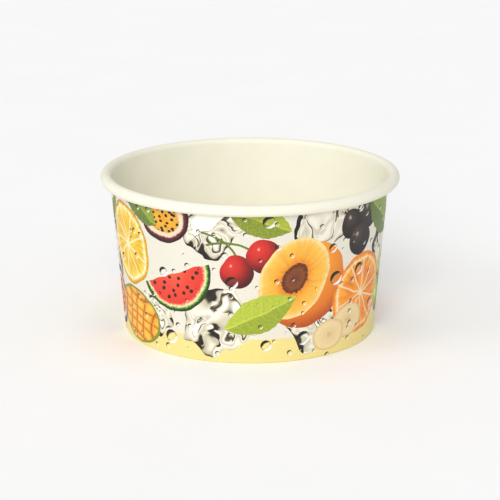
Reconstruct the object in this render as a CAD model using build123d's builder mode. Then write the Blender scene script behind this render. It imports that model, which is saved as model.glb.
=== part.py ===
"""Paper dessert cup: a round, tapered cup for about 240 ml, made of two pieces of coated board.

sidewall     one board blank rolled into a cone, its ends lapped in a glued side seam. Its top edge is
             curled outwards into the rim, and its foot is folded inwards and up into a hem.
bottom_disc  a round blank drawn into a shallow, upturned pan. Its skirt stands in the foot's fold.

The frame: the origin is at the middle of the foot, on the table, +Z up. The side seam is at -X.
Lengths are in millimetres and angles in degrees.
"""

from math import asin, atan2, cos, degrees, hypot, radians, sin, tan
import os

from build123d import *

# The cup's outside
rim_diameter = 95.0  # over the rolled rim
cup_height = 51.5
foot_diameter = 79.8  # over the wall, where its line meets the table

# The two boards
wall_board = 0.33  # thickness of the wall's board
disc_board = 0.28  # thickness of the bottom's board
seal_film = 0.02  # the coating that bonds the disc's skirt in the fold, on each side

# The rolled rim
roll_diameter = 3.6  # over the roll, seen in section
roll_gap = 0.06  # between the tucked edge and the wall that it is tucked against
tuck_angle = 125.0  # how far the board runs on, past the roll's lowest point

# The foot
hem_height = 5.3  # from the table to the hem's cut edge
floor_recess = 6.2  # from the table to the underside of the cup's floor
disc_bend_radius = 0.5  # under the bend between floor and skirt
skirt_stop = 0.25  # from the skirt's cut edge to the inside of the fold

# The side seam
lap_width = 8.0  # where the two ends lie on each other, measured at the foot
lap_short = 0.3  # how far the outer end stops below the inner one's edge at the hem
seam_ramp = 2.2  # where the outer end comes down off the inner one's edge
seam_side = 180.0  # the direction of the seam's middle, from +X
feather = 0.02  # thickness at which a ramp is taken to have ended
clear_air = 0.2  # how far a cut reaches outside the board

# The wall leans so that its printed face runs from the foot's edge to touch the inside of the roll
foot_radius = foot_diameter / 2
roll_radius = roll_diameter / 2
roll_inside = roll_radius - wall_board
roll_r = rim_diameter / 2 - roll_radius
roll_z = cup_height - roll_radius
wall_lean = degrees(
    atan2(roll_r - foot_radius, roll_z)
    - asin(roll_inside / hypot(roll_r - foot_radius, roll_z))
)
lean_sin, lean_cos, lean_tan = (f(radians(wall_lean)) for f in (sin, cos, tan))

# The fold holds the skirt and its two films between the wall and the hem
fold_width = (disc_board + 2 * seal_film + 2 * wall_board) / lean_cos
hem_r = foot_radius - fold_width

# The tucked edge turns inside the roll, clear of the wall's printed face
tuck_inside = roll_inside - wall_board - roll_gap

# The disc's skirt lies one film inside the wall
skirt_r = foot_radius - (wall_board + seal_film) / lean_cos
floor_top = floor_recess + disc_board
skirt_end = wall_board + skirt_stop

# The lap and its ramp, as directions round the cup
lap_angle = degrees(lap_width / foot_radius)
lap_start = seam_side - lap_angle / 2
lap_end = seam_side + lap_angle / 2
ramp_end = lap_end + degrees(seam_ramp / foot_radius)


def upright(angle):
    """The upright plane through the axis at that angle from +X: its x runs outwards and its y upwards."""
    across, along = sin(radians(angle)), cos(radians(angle))
    return Plane(origin=(0, 0, 0), x_dir=(along, across, 0), z_dir=(across, -along, 0))


def on_roll(radius, angle, drop=0.0):
    """A point at that radius and angle round the roll's middle, in an upright plane."""
    return (
        roll_r + radius * cos(radians(angle)),
        roll_z - drop + radius * sin(radians(angle)),
    )


def roll_line(depth):
    """One face of the board in section over the roll, from the wall to the roll's lowest point."""
    return CenterArc((roll_r, roll_z), roll_inside + depth, 180 - wall_lean, wall_lean - 270)


def board_line(depth, tucked):
    """One face of the wall's board in section: the hem, the fold, the wall and the roll.

    depth is 0 on the printed face and wall_board on the food face, where the fold is sharp. The line
    runs on past the roll's lowest point with the tucked edge, or it is the lap's, which stops there and
    is short at the hem. It gives the line's two ends.
    """
    across, down = depth / lean_cos, depth * lean_tan
    hem_top = hem_height if tucked else hem_height - lap_short
    corners = (
        (hem_r + hem_top * lean_tan + depth * lean_cos, hem_top - depth * lean_sin),
        (hem_r + across + down, depth),
        (foot_radius - across + down, depth),
        on_roll(roll_inside + depth, 180 - wall_lean),
    )
    if depth < wall_board:
        wall = FilletPolyline(*corners, radius=wall_board - depth)
    else:
        wall = Polyline(*corners)
    end = roll_line(depth)
    if tucked:
        drop = roll_inside - tuck_inside
        end = CenterArc((roll_r, roll_z - drop), tuck_inside + depth, -90, -tuck_angle)
    return wall @ 0, end @ 1


def board_section(angle, shallow, deep, tucked):
    """The board in section between two depths, in the upright plane at that angle."""
    with BuildSketch(upright(angle)) as section:
        with BuildLine():
            shallow_ends = board_line(shallow, tucked)
            deep_ends = board_line(deep, tucked)
            for shallow_end, deep_end in zip(shallow_ends, deep_ends):
                Line(shallow_end, deep_end)
        make_face()
    return section.sketch


def inner_edge_section(angle, depth):
    """Where the board's inner end is missing: from that depth outwards past the food face."""
    with BuildSketch(upright(angle)) as section:
        with BuildLine():
            ends = []
            for face in (depth, wall_board + clear_air):
                foot = (foot_radius - face / lean_cos + skirt_end * lean_tan, skirt_end)
                wall = Line(foot, on_roll(roll_inside + face, 180 - wall_lean))
                ends.append((wall @ 0, roll_line(face) @ 1))
            for shallow_end, deep_end in zip(*ends):
                Line(shallow_end, deep_end)
        make_face()
    return section.sketch


with BuildPart() as sidewall:
    revolve(board_section(seam_side + 180, 0, wall_board, tucked=True), axis=Axis.Z)

    # The blank's outer end, lapped over its inner end
    revolve(
        board_section(lap_start, -wall_board, 0, tucked=False),
        axis=Axis.Z,
        revolution_arc=lap_angle,
    )

    # Past the inner end's cut edge the outer end comes down to the cup's own round
    loft(
        [
            board_section(lap_end, -wall_board, wall_board / 2, tucked=False),
            board_section(ramp_end, -feather, wall_board / 2, tucked=False),
        ],
        ruled=True,
    )
    loft(
        [
            inner_edge_section(lap_end, 0),
            inner_edge_section(ramp_end, wall_board - feather),
        ],
        ruled=True,
        mode=Mode.SUBTRACT,
    )

    # Under the foot the lap is pressed flat
    split(bisect_by=Plane.XY, keep=Keep.TOP)

sidewall.part.label = "sidewall"

with BuildPart() as bottom_disc:
    with BuildSketch(upright(seam_side)):
        with BuildLine():
            FilletPolyline(
                (0, floor_top),
                (skirt_r + floor_top * lean_tan, floor_top),
                (skirt_r + skirt_end * lean_tan, skirt_end),
                radius=disc_board + disc_bend_radius,
            )
            offset(amount=disc_board, side=Side.RIGHT)
        make_face()
    revolve(axis=Axis.Z)

bottom_disc.part.label = "bottom_disc"

os.makedirs("parts", exist_ok=True)
for piece in (sidewall, bottom_disc):
    print(piece.part.label, piece.part.volume, piece.part.bounding_box(), piece.part.is_valid)
    export_step(piece.part, f"parts/{piece.part.label}.step")
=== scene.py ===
"""The look of a paper dessert cup, 95 mm across its rolled rim, and the photograph's view of it.

Lengths are in metres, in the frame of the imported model: the foot stands on z = 0 and the side seam is
at -X. Sizes that the model's box gives are read from it, and the others are given in millimetres.
"""

import math

import bpy
import numpy as np
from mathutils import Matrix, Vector


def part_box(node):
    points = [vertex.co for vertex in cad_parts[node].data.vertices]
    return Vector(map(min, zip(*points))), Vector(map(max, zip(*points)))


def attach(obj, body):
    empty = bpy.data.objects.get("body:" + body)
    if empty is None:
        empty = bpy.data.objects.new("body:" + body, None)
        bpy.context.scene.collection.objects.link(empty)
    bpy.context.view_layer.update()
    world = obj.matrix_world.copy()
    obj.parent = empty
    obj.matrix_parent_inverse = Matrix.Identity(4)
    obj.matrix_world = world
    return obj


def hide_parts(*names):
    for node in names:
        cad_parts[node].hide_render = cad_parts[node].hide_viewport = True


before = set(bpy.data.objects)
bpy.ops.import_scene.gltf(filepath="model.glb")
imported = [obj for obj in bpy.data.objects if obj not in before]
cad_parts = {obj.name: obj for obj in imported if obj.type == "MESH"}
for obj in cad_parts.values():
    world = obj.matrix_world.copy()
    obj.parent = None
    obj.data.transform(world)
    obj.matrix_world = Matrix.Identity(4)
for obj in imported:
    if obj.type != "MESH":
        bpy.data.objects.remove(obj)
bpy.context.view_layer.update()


# The sidewall
# One blank of coated cup board, printed on the outside. It is rolled into a cone and heat-sealed along a
# lapped side seam, then folded inwards round the bottom's skirt at the foot, where the hem is knurled,
# and curled outwards into the rim.

mm = 0.001
rim_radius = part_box("sidewall")[1][0]
cup_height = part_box("sidewall")[1][2]
foot_radius = 39.9 * mm  # over the printed face, where its line meets the table
wall_board = 0.33 * mm
roll_radius = 1.8 * mm
roll_gap = 0.06 * mm  # between the tucked edge and the wall beside it
tuck_turn = math.radians(125)  # how far the tucked edge runs on inside the roll
hem_height = 5.3 * mm
fold_width = 0.984 * mm  # the skirt, its coating and two boards, along the table
fold_radius = 0.4 * mm
lap_turn = math.radians(11.488)  # 8 mm of overlap at the foot
lap_start = math.pi - lap_turn / 2  # the outer end's cut edge
columns = 496  # round the whole sheet, its lap included
lap_columns = 16  # of them lie on the other end
ramp_columns = 4  # where the outer end comes down off the inner end's edge
pressed_lap = 0.2 * mm  # thickness of the outer end under the foot
knurl_depth = 0.12 * mm
knurl_columns = 4  # to one pitch of the knurl, about 2 mm
knurl_from, knurl_to = 1.4 * mm, 5.1 * mm  # along the board, from the foot's edge
hem_rows = (0.9, 0.84, 0.2, 0.14, 0)  # shares of the hem's height, close at the knurl's two ends
same_place = 0.01 * mm  # points nearer than this are one

roll_inside = roll_radius - wall_board
roll_r = rim_radius - roll_radius
roll_z = cup_height - roll_radius
tuck_radius = roll_inside - wall_board - roll_gap
wall_lean = math.atan2(roll_r - foot_radius, roll_z) - math.asin(
    roll_inside / math.hypot(roll_r - foot_radius, roll_z)
)
hem_r = foot_radius - fold_width
sheet_turn = 2 * math.pi + lap_turn


def start_line(name, x, z):
    """A new mesh of one point, in edit mode."""
    bpy.ops.object.select_all(action="DESELECT")
    bpy.ops.mesh.primitive_plane_add(size=mm)
    piece = bpy.context.object
    piece.name = piece.data.name = name
    bpy.ops.object.mode_set(mode="EDIT")
    bpy.ops.mesh.select_mode(type="VERT")
    bpy.ops.mesh.merge(type="CENTER")
    bpy.ops.transform.translate(value=(x, 0, z))
    return piece


def draw_to(x, z, steps=1):
    """Extrude the selected end of the line to that point."""
    bpy.context.object.update_from_editmode()
    end = next(v.co for v in bpy.context.object.data.vertices if v.select)
    step = ((x - end.x) / steps, 0, (z - end.z) / steps)
    for _ in range(steps):
        bpy.ops.mesh.extrude_region_move(TRANSFORM_OT_translate={"value": step})


def choose(piece, flags):
    """Select the vertices with a true flag, and go on in edit mode."""
    bpy.ops.object.mode_set(mode="EDIT")
    bpy.ops.mesh.select_all(action="DESELECT")
    bpy.ops.object.mode_set(mode="OBJECT")
    piece.data.vertices.foreach_set("select", flags)
    bpy.ops.object.mode_set(mode="EDIT")


def places(piece):
    """The places of all its vertices."""
    piece.update_from_editmode()
    co = np.empty(3 * len(piece.data.vertices))
    piece.data.vertices.foreach_get("co", co)
    return co.reshape(-1, 3)


def round_corner(piece, x, z, radius, steps):
    """Round the line's corner at that point."""
    co = places(piece)
    choose(piece, np.hypot(co[:, 0] - x, co[:, 2] - z) < same_place)
    bpy.ops.mesh.bevel(offset=radius, segments=steps, affect="VERTICES")


def run_along(piece):
    """How far along the line each of its vertices is."""
    co = places(piece)
    links = {i: [] for i in range(len(co))}
    for edge in piece.data.edges:
        a, b = edge.vertices
        links[a].append(b)
        links[b].append(a)
    along = np.zeros(len(co))
    last, here = None, 0
    while True:
        ahead = [i for i in links[here] if i != last]
        if not ahead:
            return along
        along[ahead[0]] = along[here] + np.linalg.norm(co[ahead[0]] - co[here])
        last, here = here, ahead[0]


# The printed face in section, from the hem's cut edge to the edge tucked in the roll
wall = start_line("sidewall_sheet", hem_r + hem_height * math.tan(wall_lean), hem_height)
for share in hem_rows:
    draw_to(hem_r + share * hem_height * math.tan(wall_lean), share * hem_height)
draw_to(foot_radius, 0)
wall_end = (
    roll_r - roll_inside * math.cos(wall_lean),
    roll_z + roll_inside * math.sin(wall_lean),
)
draw_to(*wall_end, steps=8)
bpy.ops.mesh.spin(
    steps=24,
    angle=wall_lean - 1.5 * math.pi,
    center=(roll_r, 0, roll_z),
    axis=(0, 1, 0),
)
bpy.ops.mesh.spin(
    steps=10,
    angle=-tuck_turn,
    center=(roll_r, 0, roll_z - roll_inside + tuck_radius),
    axis=(0, 1, 0),
)
for corner in (hem_r, foot_radius):
    round_corner(wall, corner, 0, fold_radius, steps=5)

along = run_along(wall)
line = places(wall)
rows = len(line)
foot_row = np.argmin(np.hypot(line[:, 0] - foot_radius, line[:, 2]))
from_foot = along - along[foot_row]
roll_run = from_foot[np.argmin(np.hypot(line[:, 0] - wall_end[0], line[:, 2] - wall_end[1]))]
tuck_row = np.argmin(np.hypot(line[:, 0] - roll_r, line[:, 2] - roll_z + roll_inside))
tuck_run = from_foot[tuck_row]

# The sheet, from the outer end round to the inner one
bpy.ops.mesh.select_all(action="SELECT")
bpy.ops.transform.rotate(value=-lap_start, orient_axis="Z", center_override=(0, 0, 0))
bpy.ops.mesh.spin(steps=columns, angle=-sheet_turn, center=(0, 0, 0), axis=(0, 0, 1))
bpy.ops.mesh.select_all(action="SELECT")
bpy.ops.mesh.normals_make_consistent(inside=True)

# Each vertex's row on the line and column round the sheet
co = places(wall)
section = np.stack([np.hypot(co[:, 0], co[:, 1]), co[:, 2]], axis=1)
row = np.linalg.norm(section[:, None] - line[None, :, ::2], axis=2).argmin(axis=1)
round_columns = columns * 2 * math.pi / sheet_turn
turned = (np.arctan2(co[:, 1], co[:, 0]) - lap_start) * columns / sheet_turn
turned = (turned + 0.5) % round_columns - 0.5
second_round = np.arange(len(co)) / rows - turned > round_columns / 2
column = np.rint(turned + second_round * round_columns).astype(int)


def lift(piece, flags, height):
    """Move the vertices with a true flag out along their normals."""
    choose(piece, flags)
    bpy.ops.transform.shrink_fatten(value=height)


# One board's height, shared out over the columns of a soft ramp
ramp = [0.5 + 0.5 * math.cos(math.pi * step / (ramp_columns + 1)) for step in range(ramp_columns + 2)]
rises = [wall_board * (above - below) for above, below in zip(ramp, ramp[1:])]

# The outer end lies on the inner one, and past its edge it comes down in the ramp
for step, rise in enumerate(rises):
    lift(wall, column <= lap_columns + step, rise)

# Under the foot the lap is pressed flat, with the inner end a little above the outer one. The outer end
# isn't tucked into the roll, and the inner end's tucked edge makes room for the outer end on the wall.
co = places(wall)
bpy.ops.object.mode_set(mode="OBJECT")
under_lap = (column - columns + lap_columns) / ramp_columns + 1
co[:, 2] = np.maximum(co[:, 2], pressed_lap * np.clip(under_lap, 0, 1))
wall.data.vertices.foreach_set("co", co.ravel())
tucked = from_foot[row] > tuck_run + same_place
for step, rise in enumerate(rises):
    lift(wall, tucked & (column >= columns - lap_columns - step), rise)
cut_off = tucked & (column <= lap_columns)
choose(wall, cut_off)
bpy.ops.mesh.delete(type="VERT")
bpy.ops.object.mode_set(mode="OBJECT")
row, column = row[~cut_off], column[~cut_off]


def linear(hex_colour):
    """An sRGB hex colour as linear red, green, blue and alpha."""
    parts = [int(hex_colour[i : i + 2], 16) / 255 for i in (1, 3, 5)]
    return (*(c / 12.92 if c <= 0.04045 else ((c + 0.055) / 1.055) ** 2.4 for c in parts), 1)


# Where each point is on the flat blank, in millimetres: along it from the front, and up from the foot
middle_radius = 41.9  # half-way up the wall
blank = np.zeros((len(row), 3))
blank_start = (lap_start - 1.5 * math.pi) * middle_radius
blank[:, 0] = blank_start + column * sheet_turn / columns * middle_radius
blank[:, 1] = from_foot[row] / mm
wall.data.attributes.new("blank", "FLOAT_VECTOR", "POINT").data.foreach_set("vector", blank.ravel())

# The print: cut fruit, leaves, lumps of clear ice and drops on white, over a pale yellow band at the foot.
# It is offset litho under a thin varnish, which gives the eye dense, clean colours with a soft sheen. The
# halftone's dots, some 0.15 mm apart, are too fine to show, so the colours are drawn solid. The picture
# comes twice round the cup. Its places, sizes and scales are in millimetres on the flat blank.
repeat = math.pi * middle_radius
front_reach = 42  # motifs further than this from the front are set out about the sides
band_height = 7.9
print_top = 50.3  # the inks stop just inside the roll
print_foot = -1.5  # and where the foot is folded in
bare_margin = 0.5  # along the outer end's cut edge
ink_density = 1.28  # how much the inks deepen each other on the board


def new_material(name):
    """A new material, ready for its nodes."""
    material = bpy.data.materials.new(name)
    material.use_nodes = True
    return material


def connect(node, feed):
    """Link each socket to the output that it is given, or set it to its value."""
    for socket, value in feed.items():
        if isinstance(value, bpy.types.NodeSocket):
            tree.links.new(value, node.inputs[socket])
        else:
            node.inputs[socket].default_value = value


def add(kind, feed=(), out=0, stops=(), **settings):
    """Add a node to the material at hand, with its settings and links, and give one of its outputs.

    Sockets go by name or number. A colour Mix has its factor at 0, its colours at 6 and 7 and its result at
    2. A MapRange has its value at 0, the range that it comes from at 1 and 2 and the new one at 3 and 4.
    """
    node = tree.nodes.new("ShaderNode" + kind)
    for name, value in settings.items():
        setattr(node, name, value)
    for number, (place, colour) in enumerate(stops):
        elements = node.color_ramp.elements
        stop = elements[number] if number < len(elements) else elements.new(place)
        stop.position, stop.color = place, linear(colour)
    connect(node, feed if isinstance(feed, dict) else dict(enumerate(feed)))
    return node.outputs[out]


board_print = new_material("offset_printed_cup_board")
tree = board_print.node_tree

# Outlines waver by up to 0.4 mm and those of the ice by up to 1.5 mm, in waves some 8 mm long
spread = add("Attribute", out="Vector", attribute_name="blank")
ripple = {"Vector": spread, "Scale": 0.13, "Detail": 1.0}
ripple = add("TexNoise", ripple, out="Color", noise_dimensions="2D")
mottle = {"Vector": spread, "Scale": 1.3, "Detail": 3.0}
mottle = add("TexNoise", mottle, noise_dimensions="2D")
ripple = add("VectorMath", (ripple, (0.5, 0.5, 0.5)), operation="SUBTRACT")
wavy = add("VectorMath", {0: ripple, 1: (1.5, 1.5, 0), 2: spread}, operation="MULTIPLY_ADD")
lumpy = add("VectorMath", {0: ripple, 1: (6, 6, 0), 2: spread}, operation="MULTIPLY_ADD")
# The same picture for motifs about the front, and for those about the sides, repeated along the blank only
sheet_of = {}
for low in (-repeat / 2, 0):
    for kind, where in (("wavy", wavy), ("lumpy", lumpy)):
        limits = (low + repeat, 999, 999), (low, -999, -999)
        sheet_of[low, kind] = add("VectorMath", (where, *limits), operation="WRAP")


def motif(u, v, width, height, turn, outline="wavy"):
    """The picture's coordinates about a motif, from -1 to 1 over its width and height."""
    low = 0 if abs(u) > front_reach else -repeat / 2
    u = (u - low) % repeat + low
    turned = (0, 0, math.radians(turn))
    feed = sheet_of[low, outline], (u, v, 0), turned, (width / 2, height / 2, 1)
    return add("Mapping", feed, vector_type="TEXTURE")


def round_motif(*place):
    """A motif's coordinates, and how far out on it each point is, which is 1 at its outline."""
    local = motif(*place)
    return local, add("VectorMath", (local,), out="Value", operation="LENGTH")


def print_round(under, r, colour):
    """The picture with a round motif's colour printed over it."""
    mask = add("Math", (r, 1.0), operation="LESS_THAN")
    return add("Mix", {0: mask, 6: under, 7: colour}, out=2, data_type="RGBA")


def ice(under, u, v, width, height, turn, seed):
    """A lump of clear ice: flat white and charcoal facets, blurred by the lump's own waves."""
    local, r = round_motif(u, v, width, height, turn, "lumpy")
    waves = {"Vector": local, "W": seed, "Scale": 1.1, "Detail": 1.0, "Distortion": 1.1}
    waves = add("TexNoise", waves, noise_dimensions="4D").node.outputs
    bent = add("VectorMath", {0: waves[1], 1: (0.9, 0.9, 0), 2: local}, operation="MULTIPLY_ADD")
    facets = {"Vector": bent, "W": seed, "Scale": 1.7}
    facets = add("TexVoronoi", facets, out="Color", voronoi_dimensions="4D")
    facet = add("SeparateColor", (facets,))
    tone = add("Math", (facet, 0.34, waves[0]), operation="MULTIPLY_ADD")
    edge = add("Math", (r, 7.0), operation="POWER")
    tone = add("Math", (edge, -0.22, tone), operation="MULTIPLY_ADD")
    glass = add(
        "ValToRGB",
        (tone,),
        stops=(
            (0.36, "#2A2118"),
            (0.445, "#40362A"),
            (0.462, "#8F8470"),
            (0.475, "#C8C1AC"),
            (0.56, "#E4DFCC"),
            (0.64, "#F6F3E8"),
            (0.70, "#D6D0BA"),
            (0.755, "#F6F3E8"),
            (0.765, "#877C6A"),
            (0.785, "#40362A"),
            (0.795, "#8F8470"),
            (0.81, "#E4DFCC"),
            (0.84, "#FBF9F0"),
        ),
    )
    return print_round(under, r, glass)


def pulp(colour, local, r, around, out, contrast):
    """A cut fruit's colour with its pulp in it, which runs out from the middle in fine streaks.

    Real pulp is finer than shows here, so there are fewer and wider streaks.
    """
    ray = add("VectorMath", (local,), operation="NORMALIZE")
    depth = add("Math", (r, out / around), operation="MULTIPLY")
    streaks = {"Vector": ray, "W": depth, "Scale": around, "Detail": 1.0}
    streaks = add("TexNoise", streaks, noise_dimensions="4D")
    streaks = add("MapRange", {0: streaks, 1: 0.3, 2: 0.7, 3: 1 - contrast, 4: 1 + contrast})
    return add("VectorMath", {0: colour, 3: streaks}, operation="SCALE")


def citrus_wheel(under, u, v, width, height, turn, segments, flesh, rind):
    """A slice across a citrus fruit: pulp in segments with skins between them, inside the rind."""
    flesh_edge, half_skin, skin_strength = 0.84, 0.035, 0.8
    local, r = round_motif(u, v, width, height, turn)
    parts = add("SeparateXYZ", (local,)).node.outputs
    turned = add("Math", (parts[1], parts[0]), operation="ARCTAN2")
    wedge = add("Math", (turned, segments / (2 * math.pi)), operation="MULTIPLY")
    from_skin = add("Math", (wedge, 0.5), operation="PINGPONG")
    from_skin = add("Math", (from_skin, r), operation="MULTIPLY")
    depth = add("Math", (mottle, 0.10, r), operation="MULTIPLY_ADD")
    disc = add("ValToRGB", (depth,), stops=flesh)
    disc = pulp(disc, local, r, 7.0, 3.5, 0.16)
    skin = add("Math", (from_skin, half_skin), operation="LESS_THAN")
    in_flesh = add("Math", (r, flesh_edge), operation="LESS_THAN")
    skin = add("Math", (skin, in_flesh), operation="MULTIPLY")
    skin = add("Math", (skin, skin_strength), operation="MULTIPLY")
    disc = add("Mix", {0: skin, 6: disc, 7: linear(rind)}, out=2, data_type="RGBA")
    return print_round(under, r, disc)


def round_fruit(under, u, v, width, height, turn, stops, light=(-0.35, 0.4)):
    """A whole berry or a fruit's outside, shaded round from its light side."""
    local, r = round_motif(u, v, width, height, turn)
    lit = add("VectorMath", (local, (*light, 0)), out="Value", operation="DISTANCE")
    lit = add("Math", (mottle, 0.18, lit), operation="MULTIPLY_ADD")
    lit = add("Math", (lit, 1.6), operation="DIVIDE")
    skin = add("ValToRGB", (lit,), stops=stops)
    return print_round(under, r, skin)


def leaf(under, u, v, length, width, turn, light, dark):
    """A toothed leaf with a midrib and side veins, its one half darker."""
    teeth, half_vein, half_rib = 9.0, 0.09, 0.045
    local = motif(u, v, length, width, turn)
    parts = add("SeparateXYZ", (local,)).node.outputs
    bulge = add("Math", (parts[0], parts[0]), operation="MULTIPLY")
    bulge = add("Math", (1.0, bulge), operation="SUBTRACT")
    across = add("Math", (parts[1],), operation="ABSOLUTE")
    slant = add("Math", (across, -0.25, parts[0]), operation="MULTIPLY_ADD")
    slant = add("Math", (slant, teeth), operation="MULTIPLY")
    tooth = add("Math", (slant, 1.0), operation="PINGPONG")
    outline = add("Math", (tooth, 0.05, across), operation="MULTIPLY_ADD")
    mask = add("Math", (outline, bulge), operation="LESS_THAN")
    half = add("Math", (parts[1], 0.0), operation="GREATER_THAN")
    tone = add("Math", (mottle, 0.45), operation="MULTIPLY")
    tone = add("Math", (half, 0.35, tone), operation="MULTIPLY_ADD")
    vein = add("Math", (tooth, half_vein), operation="LESS_THAN")
    rib = add("Math", (across, half_rib), operation="LESS_THAN")
    tone = add("Math", (vein, 0.18, tone), operation="MULTIPLY_ADD")
    tone = add("Math", (rib, 0.5, tone), operation="MULTIPLY_ADD")
    green = add("ValToRGB", (tone,), stops=((0.1, dark), (0.8, light)))
    return add("Mix", {0: mask, 6: under, 7: green}, out=2, data_type="RGBA")


def half_stone_fruit(under, u, v, width, height, turn):
    """A halved apricot: its skin behind, then the cut flesh with the stone in it."""
    shift = 0.10 * width
    across, up = shift * math.cos(math.radians(turn)), shift * math.sin(math.radians(turn))
    back = ((0.0, "#F9BE52"), (0.5, "#F2A63E"), (0.78, "#E58E32"), (1.0, "#C06024"))
    picture = round_fruit(under, u + across, v + up, width, height, turn, back)
    local, r = round_motif(u - across, v - up, 0.86 * width, 0.94 * height, turn)
    depth = add("Math", (mottle, 0.12, r), operation="MULTIPLY_ADD")
    flesh = add(
        "ValToRGB",
        (depth,),
        stops=(
            (0.0, "#7A4526"),
            (0.30, "#9A5E33"),
            (0.42, "#6E3A1E"),
            (0.45, "#EC9C34"),
            (0.60, "#F7BA4C"),
            (0.88, "#F9C962"),
            (0.96, "#F9CF7C"),
            (1.0, "#F7DDA0"),
        ),
    )
    flesh = pulp(flesh, local, r, 6.0, 1.5, 0.08)
    return print_round(picture, r, flesh)


def melon_wedge(under, u, v, width, height, turn):
    """A wedge of watermelon with its pips, cut off a little below the middle."""
    pip_size, pips_reach, cut_line = 0.2, 0.74, -0.05
    local, r = round_motif(u, v, width, height, turn)
    parts = add("SeparateXYZ", (local,)).node.outputs
    depth = add("Math", (mottle, 0.09, r), operation="MULTIPLY_ADD")
    flesh = add(
        "ValToRGB",
        (depth,),
        stops=(
            (0.0, "#F47C60"),
            (0.45, "#EC5C46"),
            (0.84, "#E64E3C"),
            (0.88, "#F3A08C"),
            (0.91, "#EEF0C8"),
            (0.95, "#A9CC5C"),
            (0.98, "#4F7A2E"),
            (1.0, "#2F5526"),
        ),
    )
    pips = {"Vector": local, "Scale": 4.2, "Randomness": 0.75}
    pips = add("TexVoronoi", pips, voronoi_dimensions="2D")
    pip = add("Math", (pips, pip_size), operation="LESS_THAN")
    deep = add("Math", (r, pips_reach), operation="LESS_THAN")
    pip = add("Math", (pip, deep), operation="MULTIPLY")
    flesh = add("Mix", {0: pip, 6: flesh, 7: linear("#3A2A22")}, out=2, data_type="RGBA")
    disc = add("Math", (r, 1.0), operation="LESS_THAN")
    cut = add("Math", (parts[1], cut_line), operation="LESS_THAN")
    mask = add("Math", (disc, cut), operation="MULTIPLY")
    return add("Mix", {0: mask, 6: under, 7: flesh}, out=2, data_type="RGBA")


def seedy_half(under, u, v, width, height, turn, flesh, crowding, reach, seed_colour):
    """A halved fruit that is full of seeds, out to that reach."""
    seed_size = 0.27  # as a share of the space that a seed has
    local, r = round_motif(u, v, width, height, turn)
    depth = add("Math", (mottle, 0.10, r), operation="MULTIPLY_ADD")
    half = add("ValToRGB", (depth,), stops=flesh)
    seeds = {"Vector": local, "Scale": crowding, "Randomness": 0.8}
    seeds = add("TexVoronoi", seeds, voronoi_dimensions="2D")
    seed = add("Math", (seeds, seed_size), operation="LESS_THAN")
    among = add("Math", (r, reach), operation="LESS_THAN")
    seed = add("Math", (seed, among), operation="MULTIPLY")
    half = add("Mix", {0: seed, 6: half, 7: linear(seed_colour)}, out=2, data_type="RGBA")
    return print_round(under, r, half)


def mango_cheek(under, u, v, width, height, turn):
    """A mango's cheek, scored into cubes and turned out on its skin."""
    skin_from, cube, cubes_at_middle = 0.92, 0.5, 3.4
    local, r = round_motif(u, v, width, height, turn)
    swell = add("Math", (r, r, -cubes_at_middle), operation="MULTIPLY_ADD")
    swollen = add("VectorMath", {0: local, 3: swell}, operation="SCALE")
    parts = add("SeparateXYZ", (swollen,)).node.outputs
    across = add("Math", (parts[0], cube), operation="PINGPONG")
    along = add("Math", (parts[1], cube), operation="PINGPONG")
    from_cut = add("Math", (across, along), operation="MINIMUM")
    from_cut = add("Math", (mottle, 0.16, from_cut), operation="MULTIPLY_ADD")
    flesh = add(
        "ValToRGB",
        (from_cut,),
        stops=((0.08, "#B46A20"), (0.15, "#E59E2E"), (0.26, "#F7BE40"), (0.55, "#FCD664")),
    )
    skin = add("Math", (r, skin_from), operation="GREATER_THAN")
    flesh = add("Mix", {0: skin, 6: flesh, 7: linear("#8FA23C")}, out=2, data_type="RGBA")
    return print_round(under, r, flesh)


def stalk(under, u, v, radius, turn):
    """A thin curved stalk, about a quarter of a ring round its own middle."""
    half_width = 0.35
    local, r = round_motif(u, v, 2 * radius, 2 * radius, turn)
    line = add("Math", (r, 1.0, half_width / radius), operation="COMPARE")
    parts = add("SeparateXYZ", (local,)).node.outputs
    part = add("Math", (parts[0], 0.25), operation="GREATER_THAN")
    part = add("Math", (part, line), operation="MULTIPLY")
    upper = add("Math", (parts[1], -0.1), operation="GREATER_THAN")
    part = add("Math", (part, upper), operation="MULTIPLY")
    return add("Mix", {0: part, 6: under, 7: linear("#7C8F3A")}, out=2, data_type="RGBA")


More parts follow.
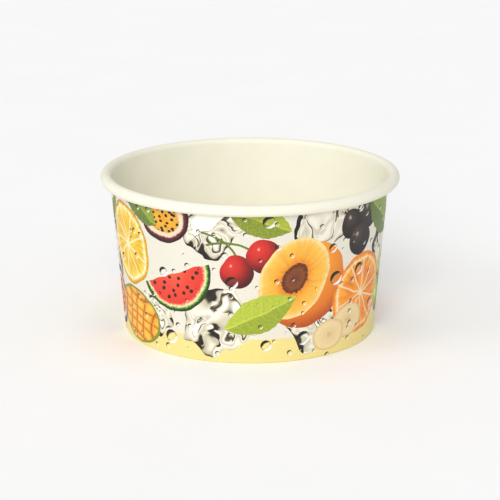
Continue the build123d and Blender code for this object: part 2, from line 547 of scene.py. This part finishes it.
def drops(under, apart, size, share, seed):
    """Drops of water, each with a dark side, a light side and a bright spot.

    They have places that far apart, a share of which hold a drop of up to that size in radius.
    """
    least, ring_from, ring_strength = 0.15 * size, 0.80, 0.45
    where = add("VectorMath", (spread, (seed, 0, 0)), operation="ADD")
    cells = {"Vector": where, "Scale": 1 / apart, "Randomness": 0.85}
    cells = add("TexVoronoi", cells, voronoi_dimensions="2D").node
    away = add("VectorMath", (where, (1, 1, 0)), operation="MULTIPLY")
    away = add("VectorMath", (away, cells.outputs["Position"]), operation="SUBTRACT")
    kind = add("SeparateColor", (cells.outputs["Color"],)).node.outputs
    reach = add("MapRange", {0: kind[0], 1: 1 - share, 2: 1.0, 3: 0.0, 4: size})
    far = add("VectorMath", (away,), out="Value", operation="LENGTH")
    share_out = add("Math", (far, reach), operation="DIVIDE")
    toward = add("VectorMath", (away, (-0.6, 0.8, 0)), out="Value", operation="DOT_PRODUCT")
    toward = add("Math", (toward, reach), operation="DIVIDE")
    tone = add("Math", (toward, share_out), operation="MULTIPLY")
    tone = add("MapRange", {0: tone, 1: -0.8, 2: 0.8, 3: 0.0, 4: 1.0})
    inside = add("Math", (share_out, 1.0), operation="LESS_THAN")
    present = add("Math", (reach, least), operation="GREATER_THAN")
    inside = add("Math", (inside, present), operation="MULTIPLY")
    look = (
        (0.0, "#FFFFFF"),
        (0.27, "#FFFFFF"),
        (0.33, "#8F8272"),
        (0.5, "#FFFFFF"),
        (0.62, "#4A3F36"),
        (0.8, "#1E1814"),
    )
    look = add("ValToRGB", (tone,), stops=look)
    strength = (
        (0.0, "#FFFFFF"),
        (0.25, "#D8D8D8"),
        (0.33, "#808080"),
        (0.42, "#202020"),
        (0.58, "#303030"),
        (0.66, "#FFFFFF"),
    )
    strength = add("ValToRGB", (tone,), stops=strength)
    ring = add("Math", (share_out, ring_from), operation="GREATER_THAN")
    ring = add("Math", (ring, inside), operation="MULTIPLY")
    ring = add("Math", (ring, ring_strength), operation="MULTIPLY")
    under = add("Mix", {0: ring, 6: under, 7: linear("#4A3F36")}, out=2, data_type="RGBA")
    inside = add("Math", (inside, strength), operation="MULTIPLY")
    return add("Mix", {0: inside, 6: under, 7: look}, out=2, data_type="RGBA")


# The white and the band
along_blank, up_blank, _ = add("SeparateXYZ", (spread,)).node.outputs
in_band = add("Math", (up_blank, band_height), operation="LESS_THAN")
ground = {0: in_band, 6: linear("#EAE6D9"), 7: linear("#F0E29F")}
picture = add("Mix", ground, out=2, data_type="RGBA")

# The colours of the fruits, from the middle or the light side outwards
lemon = (
    (0.0, "#F8EFC0"),
    (0.10, "#F8EFC0"),
    (0.16, "#F3D24A"),
    (0.70, "#F0C832"),
    (0.86, "#F6E07C"),
    (0.90, "#FBF6DC"),
    (0.96, "#F3D23C"),
    (1.0, "#D9A820"),
)
mandarin = (
    (0.0, "#FBE9C4"),
    (0.08, "#FBE3C0"),
    (0.13, "#F7AE38"),
    (0.60, "#F39C2C"),
    (0.86, "#F6B448"),
    (0.90, "#FBEBCB"),
    (0.96, "#F7B242"),
    (1.0, "#F09632"),
)
cherry = (
    (0.0, "#FFFFFF"),
    (0.07, "#F7B9B0"),
    (0.12, "#E34A3C"),
    (0.45, "#CE3A32"),
    (0.70, "#982822"),
    (0.90, "#641C17"),
)
currant = (
    (0.0, "#FFFFFF"),
    (0.09, "#B8B0A8"),
    (0.18, "#5E4F44"),
    (0.50, "#3F322A"),
    (0.82, "#241B17"),
)
grape = (
    (0.0, "#FFFFFF"),
    (0.07, "#EEF4BE"),
    (0.24, "#CBDC74"),
    (0.50, "#AABF4E"),
    (0.72, "#80963A"),
    (0.90, "#566A2A"),
)
banana = (
    (0.0, "#DABC8E"),
    (0.22, "#ECD6A8"),
    (0.55, "#F1DFB4"),
    (0.66, "#E5CB9C"),
    (0.74, "#CBA86C"),
)
fig = (
    (0.0, "#F2B59A"),
    (0.25, "#DE5650"),
    (0.66, "#C23A3C"),
    (0.74, "#F2D5C4"),
    (0.84, "#F4E6D0"),
    (0.88, "#8E4A78"),
    (1.0, "#4E2148"),
)
passion = (
    (0.0, "#E9A92C"),
    (0.35, "#F0BC3E"),
    (0.62, "#E6B048"),
    (0.70, "#F4E3C8"),
    (0.82, "#EFD9C4"),
    (0.87, "#8C3A48"),
    (0.95, "#5E2230"),
    (1.0, "#45182A"),
)

# The motifs, in the order of printing: the place across and up, the width and height, the turn in degrees
# and what is the motif's own
motifs = (
    (ice, -10, 13, 26, 20, 20, 3.1),
    (ice, -11, 44, 22, 16, 40, 2.6),
    (ice, 22, 44, 24, 18, 60, 1.9),
    (ice, 22, 11, 20, 17, -15, 7.2),
    (ice, 57, 29, 22, 24, -30, 9.4),
    (ice, -63, 29, 20, 24, 10, 5.8),
    (ice, -33, 13, 15, 13, 30, 6.6),
    (leaf, -59, 45, 22, 10, 60, "#C2CC5C", "#74843C"),
    (seedy_half, -62, 12, 18, 20, -10, fig, 7.0, 0.62, "#F3D9A0"),
    (seedy_half, -27, 45, 18, 16, 10, passion, 4.5, 0.60, "#2E2520"),
    (leaf, -37, 47, 18, 9, -35, "#B0BE52", "#6E8438"),
    (mango_cheek, -44, 10, 25, 18, -12),
    (citrus_wheel, -46, 33, 23, 27, 20, 9, lemon, "#FBF3CF"),
    (melon_wedge, -25, 28, 26, 26, 22),
    (stalk, -16, 28, 14, 10),
    (stalk, -7, 25, 14, 40),
    (leaf, 3, 46, 20, 10, -20, "#C6D056", "#8C993A"),
    (round_fruit, -4, 30, 10, 11, 0, cherry),
    (round_fruit, 4, 35, 10, 11, 0, cherry),
    (half_stone_fruit, 16, 26, 25, 29, -30),
    (leaf, 3, 16, 25, 12, 25, "#CED85C", "#9FAF40"),
    (round_fruit, 34, 42, 10, 10, 0, currant),
    (round_fruit, 42, 44, 10, 10, 0, currant),
    (round_fruit, 38, 36, 10.5, 10.5, 0, currant),
    (citrus_wheel, 41, 18, 27, 26, -20, 10, mandarin, "#FBE7C8"),
    (round_fruit, 57, 13, 10, 13, 30, grape),
    (round_fruit, 64, 15, 10, 13, -10, grape),
    (round_fruit, 60, 22, 10, 13, 10, grape),
    (round_fruit, 35, 10, 14, 11, 0, banana, (0, 0)),
    (round_fruit, 27, 7, 13, 10, 20, banana, (0, 0)),
    (leaf, 52, 41, 26, 12, -35, "#AEBF5A", "#647A3A"),
)
for draw, *place in motifs:
    picture = draw(picture, *place)
for apart, size, share, seed in ((11.0, 2.3, 0.6, 3.0), (4.6, 0.95, 0.5, 37.0)):
    picture = drops(picture, apart, size, share, seed)

picture = add("Gamma", (picture, ink_density))


def fibres(where, cloud, fleck, light, dark):
    """The colour of bare board: soft clouds of fibre with flecks in them, both so many to a millimetre.

    Real fibres are some 0.03 mm thick, too fine to show, so the flecks are drawn coarser.
    """
    clouds = add("TexNoise", {"Vector": where, "Scale": cloud, "Detail": 2.0})
    flecks = add("TexNoise", {"Vector": where, "Scale": fleck, "Detail": 4.0})
    tone = add("Math", (flecks, 0.4, clouds), operation="MULTIPLY_ADD")
    return add("ValToRGB", (tone,), stops=((0.45, dark), (0.95, light)))


# Bare board where the inks stop, and a trace of its fibres through the inks
bare = fibres(spread, 0.22, 2.5, "#F0EDE1", "#E9E5D8")
through = add("MapRange", {0: mottle, 1: 0.3, 2: 0.7, 3: 0.94, 4: 0.985})
picture = add("VectorMath", {0: picture, 3: through}, operation="SCALE")
inked = add("Math", (up_blank, print_top), operation="LESS_THAN")
below = add("Math", (up_blank, print_foot), operation="GREATER_THAN")
inked = add("Math", (inked, below), operation="MULTIPLY")
past = add("Math", (along_blank, blank_start + bare_margin), operation="GREATER_THAN")
inked = add("Math", (inked, past), operation="MULTIPLY")
picture = add("Mix", {0: inked, 6: bare, 7: picture}, out=2, data_type="RGBA")

# The inks and their varnish lie a little unevenly on the calendered board, whose grain is drawn coarser
varnish = add("MapRange", {0: mottle, 1: 0.3, 2: 0.7, 3: 0.40, 4: 0.50})
grain = add("TexNoise", {"Vector": spread, "Scale": 3.5, "Detail": 3.0})
grain = add("Bump", {"Strength": 0.35, "Distance": 0.012 * mm, "Height": grain})
shader = tree.nodes["Principled BSDF"]
connect(shader, {"Base Color": picture, "Roughness": varnish, "Normal": grain, "IOR": 1.47})


def in_millimetres():
    """Each point's place on the piece, in millimetres."""
    place = add("TexCoord", out="Object")
    return add("VectorMath", {0: place, 3: 1 / mm}, operation="SCALE")


# The food side: white board under an extruded film of clear polyethylene. It gives the eye a warm, even
# white with a soft sheen, since the film is smooth but follows the board's clouds.
food_side = new_material("polyethylene_coated_board")
tree = food_side.node_tree
inside = in_millimetres()
ripple = add("TexNoise", {"Vector": inside, "Scale": 0.45, "Detail": 2.0})
film = add("MapRange", {0: ripple, 1: 0.3, 2: 0.7, 3: 0.56, 4: 0.68})
relief = add("Bump", {"Strength": 0.4, "Distance": 0.015 * mm, "Height": ripple})
shader = tree.nodes["Principled BSDF"]
board = fibres(inside, 0.12, 1.8, "#EEEBDA", "#EAE7D4")
connect(shader, {"Base Color": board, "Roughness": film, "Normal": relief, "IOR": 1.51})

# The cut edges: plies of bare fibre, sheared and uncoated, so they look matt, rough and a little darker
cut_edge = new_material("cut_edge_of_board")
tree = cut_edge.node_tree
inside = in_millimetres()
plies = add("TexNoise", {"Vector": inside, "Scale": 6.0, "Detail": 3.0})
relief = add("Bump", {"Strength": 0.6, "Distance": 0.03 * mm, "Height": plies})
shader = tree.nodes["Principled BSDF"]
board = fibres(inside, 0.6, 7.0, "#DAD5C6", "#CAC3B2")
connect(shader, {"Base Color": board, "Roughness": 0.85, "Normal": relief})


def make_board(piece, thickness, *materials):
    """Turn a drawn face into board, with materials for that face, for the other and for the edges."""
    for material in materials:
        piece.data.materials.append(material)
    solid = piece.modifiers.new("board", "SOLIDIFY")
    solid.thickness = thickness
    solid.offset = -1
    solid.use_even_offset = True
    solid.material_offset = 1
    solid.material_offset_rim = 2
    bpy.ops.object.modifier_apply(modifier="board")


make_board(wall, wall_board, board_print, food_side, cut_edge)

# The knurl that the sealing wheel presses into the hem
printed = np.arange(2 * len(row)) < len(row)
row, column = np.tile(row, 2), np.tile(column, 2)
up_hem = -from_foot[row]
knurled = (up_hem > knurl_from) & (up_hem < knurl_to) & (column % knurl_columns < knurl_columns / 2)
lift(wall, printed & knurled & (column < columns - lap_columns), -knurl_depth)
bpy.ops.object.mode_set(mode="OBJECT")

# The map that the colours are baked through: the printed face in two long rows, the food face in one,
# and the cut edges in thin strips. Each is placed by how far up the map it starts.
second_row, food_row, edge_strips = 0.395, 0.80, 0.972
strip_pitch, strip_width, map_margin = 0.007, 0.004, 0.002
mesh = wall.data
corner_point = np.empty(len(mesh.loops), dtype=int)
mesh.loops.foreach_get("vertex_index", corner_point)
side = np.empty(len(mesh.polygons), dtype=int)
mesh.polygons.foreach_get("material_index", side)
face = np.repeat(np.arange(len(side)), 4)
first_column = column[corner_point].reshape(-1, 4).min(axis=1)[face]
along_row = from_foot[row[corner_point]] / mm
runs = np.array([from_foot.min(), 0, roll_run, tuck_run, from_foot.max()]) / mm
# Heights in a row where the hem, the wall, the roll and the tucked edge end
printed_map = np.interp(along_row, runs, (0, 0.025, 0.365, 0.380, 0.385))
food_map = np.interp(along_row, runs, (0, 0.010, 0.115, 0.155, 0.165))
x = column[corner_point] / columns
second = first_column >= columns // 2
flat = np.zeros((len(corner_point), 2))
on = side[face] == 0
flat[on, 0] = (x * 2 - second)[on]
flat[on, 1] = (printed_map + second_row * second)[on]
on = side[face] == 1
flat[on, 0] = x[on]
flat[on, 1] = food_map[on] + food_row
on = side[face] == 2
inner = corner_point >= len(row) // 2
across = np.ptp(column[corner_point].reshape(-1, 4), axis=1)[face] > 0
flat[on, 0] = np.where(across, x, (along_row - runs[0]) / (runs[-1] - runs[0]))[on]
strip = np.where(across, np.where(along_row < 0, 0, 1), np.where(first_column == 0, 2, 3))
flat[on, 1] = (edge_strips + strip_pitch * strip + strip_width * inner)[on]
flat = map_margin + (1 - 2 * map_margin) * flat
mesh.uv_layers.new(name="OFBake").data.foreach_set("uv", flat.ravel())
bpy.ops.object.shade_smooth_by_angle(angle=math.radians(40))

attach(wall, "root")
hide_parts("sidewall")


# The bottom
# A round blank of thinner coated board, drawn into a shallow, upturned pan. Its skirt stands in the
# sidewall's folded foot, and heat and the knurled wheel seal it there.

disc_board = 0.28 * mm
floor_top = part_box("bottom_disc")[1][2]
skirt_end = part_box("bottom_disc")[0][2]
bend_radius = 0.78 * mm  # over the top of the board
seal_film = 0.02 * mm
skirt_r = foot_radius - (wall_board + seal_film) / math.cos(wall_lean)

bottom = start_line("bottom_board", 0, floor_top)
corner_x = skirt_r + floor_top * math.tan(wall_lean)
draw_to(corner_x, floor_top, steps=6)
draw_to(skirt_r + skirt_end * math.tan(wall_lean), skirt_end, steps=3)
round_corner(bottom, corner_x, floor_top, bend_radius, steps=8)
bpy.ops.mesh.select_all(action="SELECT")
bpy.ops.mesh.spin(steps=240, angle=2 * math.pi, center=(0, 0, 0), axis=(0, 0, 1))
bpy.ops.mesh.select_all(action="SELECT")
bpy.ops.mesh.remove_doubles(threshold=same_place)
bpy.ops.mesh.normals_make_consistent(inside=False)
bpy.ops.object.mode_set(mode="OBJECT")

# Its top has the same coating as the wall's food side. Its underside is bare board as it left the felts of
# the paper machine, which looks matt, faintly cloudy and a little warmer.
underside = new_material("uncoated_underside_of_board")
tree = underside.node_tree
inside = in_millimetres()
felt = add("TexNoise", {"Vector": inside, "Scale": 2.2, "Detail": 5.0, "Roughness": 0.6})
relief = add("Bump", {"Strength": 0.5, "Distance": 0.02 * mm, "Height": felt})
shader = tree.nodes["Principled BSDF"]
board = fibres(inside, 0.18, 2.6, "#EBE5D6", "#E2DBC9")
connect(shader, {"Base Color": board, "Roughness": 0.75, "Normal": relief})

make_board(bottom, disc_board, food_side, underside, cut_edge)
bpy.ops.object.shade_smooth_by_angle(angle=math.radians(40))
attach(bottom, "root")
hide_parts("bottom_disc")


# The table, the light and the camera
# A plain table under white paper that runs out of the picture, soft studio light and the photograph's
# view, whose camera was fitted to the ellipses of the cup's rim and foot.

bpy.ops.object.select_all(action="DESELECT")
bpy.ops.mesh.primitive_plane_add(size=4)
table = bpy.context.object
table.name = "table"

# Matt white background paper, so the ground looks even and soft. Its tooth is drawn coarser.
white = new_material("white_paper_sweep")
tree = white.node_tree
inside = in_millimetres()
tooth = add("TexNoise", {"Vector": inside, "Scale": 0.8, "Detail": 3.0})
relief = add("Bump", {"Strength": 0.2, "Distance": 0.02 * mm, "Height": tooth})
shader = tree.nodes["Principled BSDF"]
paper = fibres(inside, 0.02, 0.8, "#FFFFFF", "#FDFDFD")
connect(shader, {"Base Color": paper, "Roughness": 0.9, "Normal": relief})
table.data.materials.append(white)

scene = bpy.context.scene
scene.view_settings.view_transform = "Standard"
world = bpy.data.worlds.new("studio")
scene.world = world
world.use_nodes = True
connect(world.node_tree.nodes["Background"], {"Color": (1, 1, 1, 1), "Strength": 0.57})


def aim(piece, place, target):
    """Stand a camera or lamp at a place, facing a target."""
    piece.location = place
    piece.rotation_euler = (Vector(target) - Vector(place)).to_track_quat("-Z", "Y").to_euler()


# Wide, far softboxes: a main one over the camera, a weaker one at the left and a weak one overhead. Each
# has its direction, its strength and how many degrees wide it looks.
softboxes = (
    ("softbox_front", (-0.14, -0.88, 0.454), 1.6, 30),
    ("softbox_left", (-0.84, -0.34, 0.423), 0.48, 28),
    ("softbox_overhead", (0, 0, 1), 0.3, 40),
)
for name, place, strength, width in softboxes:
    bpy.ops.object.light_add(type="SUN")
    lamp = bpy.context.object
    lamp.name = name
    lamp.data.energy = strength
    lamp.data.angle = math.radians(width)
    aim(lamp, place, (0, 0, 0))

bpy.ops.object.camera_add()
camera = bpy.context.object
camera.data.lens = 143.58  # millimetres
camera.data.sensor_width = 36
aim(camera, (0, -0.6170, 0.2002), (0, 0, 0.02476))
scene.camera = camera
